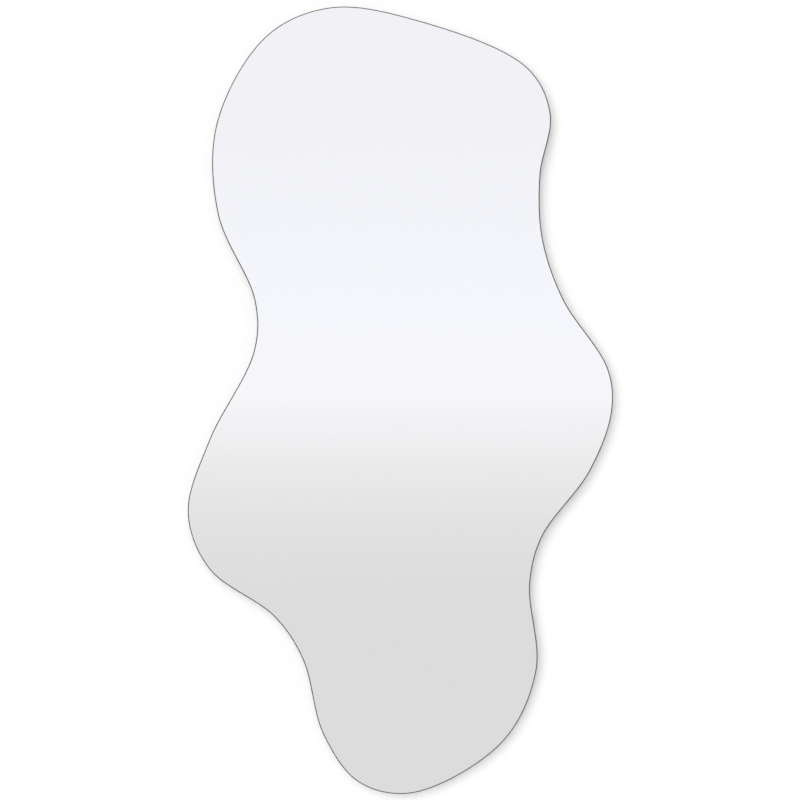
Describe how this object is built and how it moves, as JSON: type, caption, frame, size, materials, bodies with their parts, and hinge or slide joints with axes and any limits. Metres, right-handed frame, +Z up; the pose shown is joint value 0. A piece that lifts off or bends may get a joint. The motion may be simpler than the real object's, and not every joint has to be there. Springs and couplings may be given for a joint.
{
  "type": "irregular shaped mirror",
  "caption": "Frameless wall mirror with a free-form wavy outline and a ground edge, on an inset backing board with swinging D-rings and rubber wall bumpers.",
  "frame": {"origin": "on the wall plane, midway between the two hooks that the upper rings hang on, with the middle of the mirror's weight straight below", "axes": "+Z up, +X to the viewer's right, +Y from the viewer to the wall, so the glass faces -Y"},
  "size_m": [0.54, 0.0213, 1],
  "materials": {
    "silvered_glass": "silvered float glass with a ground and polished edge",
    "safety_film": "pale grey safety film",
    "foam_tape": "white foam tape",
    "backing_board": "bare MDF",
    "zinc_plate": "bright zinc plate",
    "nickel_plate": "nickel plate",
    "rubber": "matt black rubber"
  },
  "bodies": {
    "mirror": {"mirror_glass": "silvered_glass", "safety_film": "safety_film", "backing_board": "backing_board", "foam_tape_1": "foam_tape", "foam_tape_2": "foam_tape", "foam_tape_3": "foam_tape", "foam_tape_4": "foam_tape", "foam_tape_5": "foam_tape", "foam_tape_6": "foam_tape", "foam_tape_7": "foam_tape", "foam_tape_8": "foam_tape", "portrait_left_strap": "zinc_plate", "portrait_left_screw_1": "zinc_plate", "portrait_left_screw_2": "zinc_plate", "portrait_right_strap": "zinc_plate", "portrait_right_screw_1": "zinc_plate", "portrait_right_screw_2": "zinc_plate", "landscape_upper_strap": "zinc_plate", "landscape_upper_screw_1": "zinc_plate", "landscape_upper_screw_2": "zinc_plate", "landscape_lower_strap": "zinc_plate", "landscape_lower_screw_1": "zinc_plate", "landscape_lower_screw_2": "zinc_plate", "bumper_top_left": "rubber", "bumper_top_right": "rubber", "bumper_foot_left": "rubber", "bumper_foot_right": "rubber"},
    "portrait_left_swing": {"portrait_left_ring": "nickel_plate"},
    "portrait_right_swing": {"portrait_right_ring": "nickel_plate"},
    "landscape_upper_swing": {"landscape_upper_ring": "nickel_plate"},
    "landscape_lower_swing": {"landscape_lower_ring": "nickel_plate"}
  },
  "joints": [
    {"name": "portrait_left_hinge", "type": "hinge", "parent": "mirror", "child": "portrait_left_swing", "pos_m": [-0.12977, -0.004, -0.01847], "axis": [-1, 0, 0], "range_deg": [0, 179]},
    {"name": "portrait_right_hinge", "type": "hinge", "parent": "mirror", "child": "portrait_right_swing", "pos_m": [0.12977, -0.004, -0.01847], "axis": [-1, 0, 0], "range_deg": [0, 179]},
    {"name": "landscape_upper_hinge", "type": "hinge", "parent": "mirror", "child": "landscape_upper_swing", "pos_m": [-0.11177, -0.004, -0.1255], "axis": [0, 0, -1], "range_deg": [0, 179]},
    {"name": "landscape_lower_hinge", "type": "hinge", "parent": "mirror", "child": "landscape_lower_swing", "pos_m": [-0.11177, -0.004, -0.3655], "axis": [0, 0, -1], "range_deg": [0, 179]}
  ]
}
